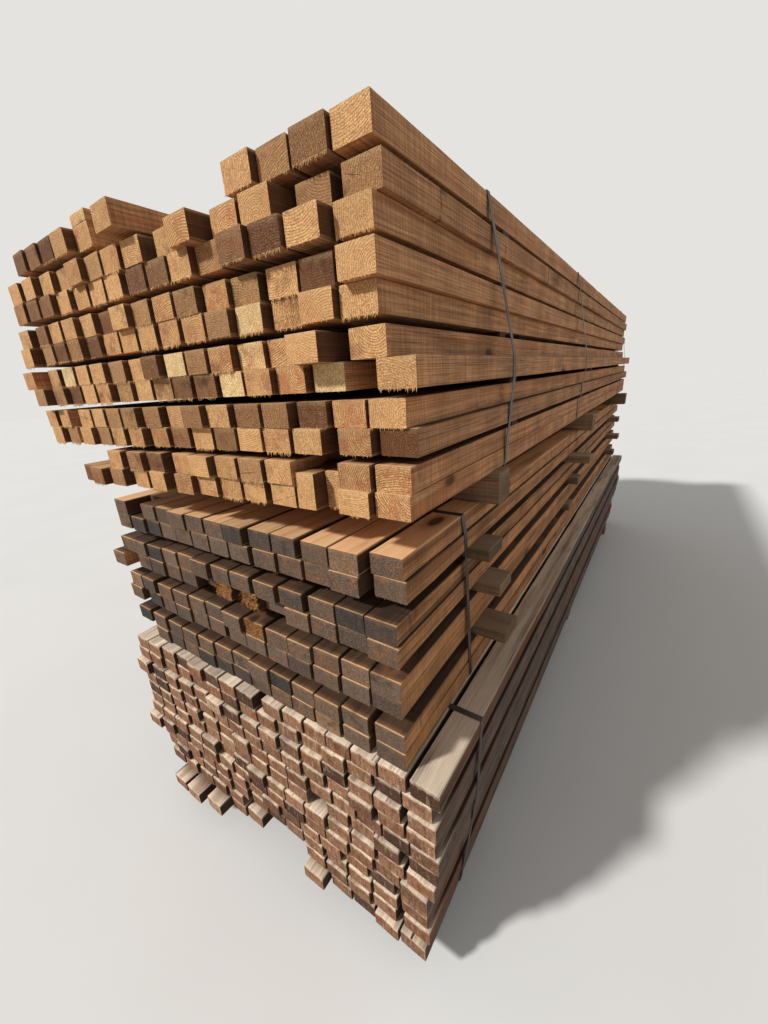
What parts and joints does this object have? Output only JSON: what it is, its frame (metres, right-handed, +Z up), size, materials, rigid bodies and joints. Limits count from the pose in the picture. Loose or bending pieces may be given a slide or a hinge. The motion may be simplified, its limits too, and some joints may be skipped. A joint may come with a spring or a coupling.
{
  "type": "stack of lumber",
  "caption": "Stack of sawn timber boards in three strapped packs, one on another, with stickers, laths and square bearers between, ends ragged toward the viewer.",
  "frame": {"origin": "middle of the footprint of the whole stack, on the floor under its lowest bearers", "axes": "+X across the boards, to the right as one faces their near, ragged ends; +Y along the boards, away from those ends; +Z up"},
  "size_m": [1.307, 3.7888, 1.789],
  "materials": {
    "upper_board": "fresh rough-sawn softwood, golden brown, with dark knots and furry lower edges",
    "middle_board": "weathered rough-sawn softwood, brown sides and dark grey speckled ends",
    "lower_board": "weathered rough-sawn softwood, silver-grey sides, pinkish ends, bleached top edges",
    "bearer": "rough-sawn, dull brown",
    "sticker": "rough-sawn, dull brown",
    "lath": "rough-sawn, dull brown",
    "strap": "blackened steel strapping, satin",
    "seal_steel": "dull crimped steel"
  },
  "bodies": {
    "root": {"base_bearers": "bearer", "lower_layer_01": "lower_board", "lower_layer_02": "lower_board", "lower_layer_03": "lower_board", "lower_layer_04": "lower_board", "lower_layer_05": "lower_board", "lower_layer_06": "lower_board", "lower_layer_07": "lower_board", "lower_layer_08": "lower_board", "lower_layer_09": "lower_board", "lower_layer_10": "lower_board", "lower_layer_11": "lower_board", "lower_layer_12": "lower_board", "lower_strap_front": "strap", "lower_strap_rear": "strap", "middle_layer_01": "middle_board", "middle_layer_02": "middle_board", "middle_layer_03": "middle_board", "middle_layer_04": "middle_board", "middle_layer_05": "middle_board", "middle_layer_06": "middle_board", "middle_layer_07": "middle_board", "middle_layer_08": "middle_board", "middle_stickers": "sticker", "middle_strap_front": "strap", "middle_strap_rear": "strap", "strap_seals": "seal_steel", "upper_bearers": "bearer", "upper_laths": "lath", "upper_layer_01": "upper_board", "upper_layer_02": "upper_board", "upper_layer_03": "upper_board", "upper_layer_04": "upper_board", "upper_layer_05": "upper_board", "upper_layer_06": "upper_board", "upper_layer_07": "upper_board", "upper_layer_08": "upper_board", "upper_layer_09": "upper_board", "upper_layer_10": "upper_board", "upper_layer_11": "upper_board", "upper_slat": "lath", "upper_strap_front": "strap", "upper_strap_middle": "strap", "upper_strap_rear": "strap"}
  },
  "joints": []
}
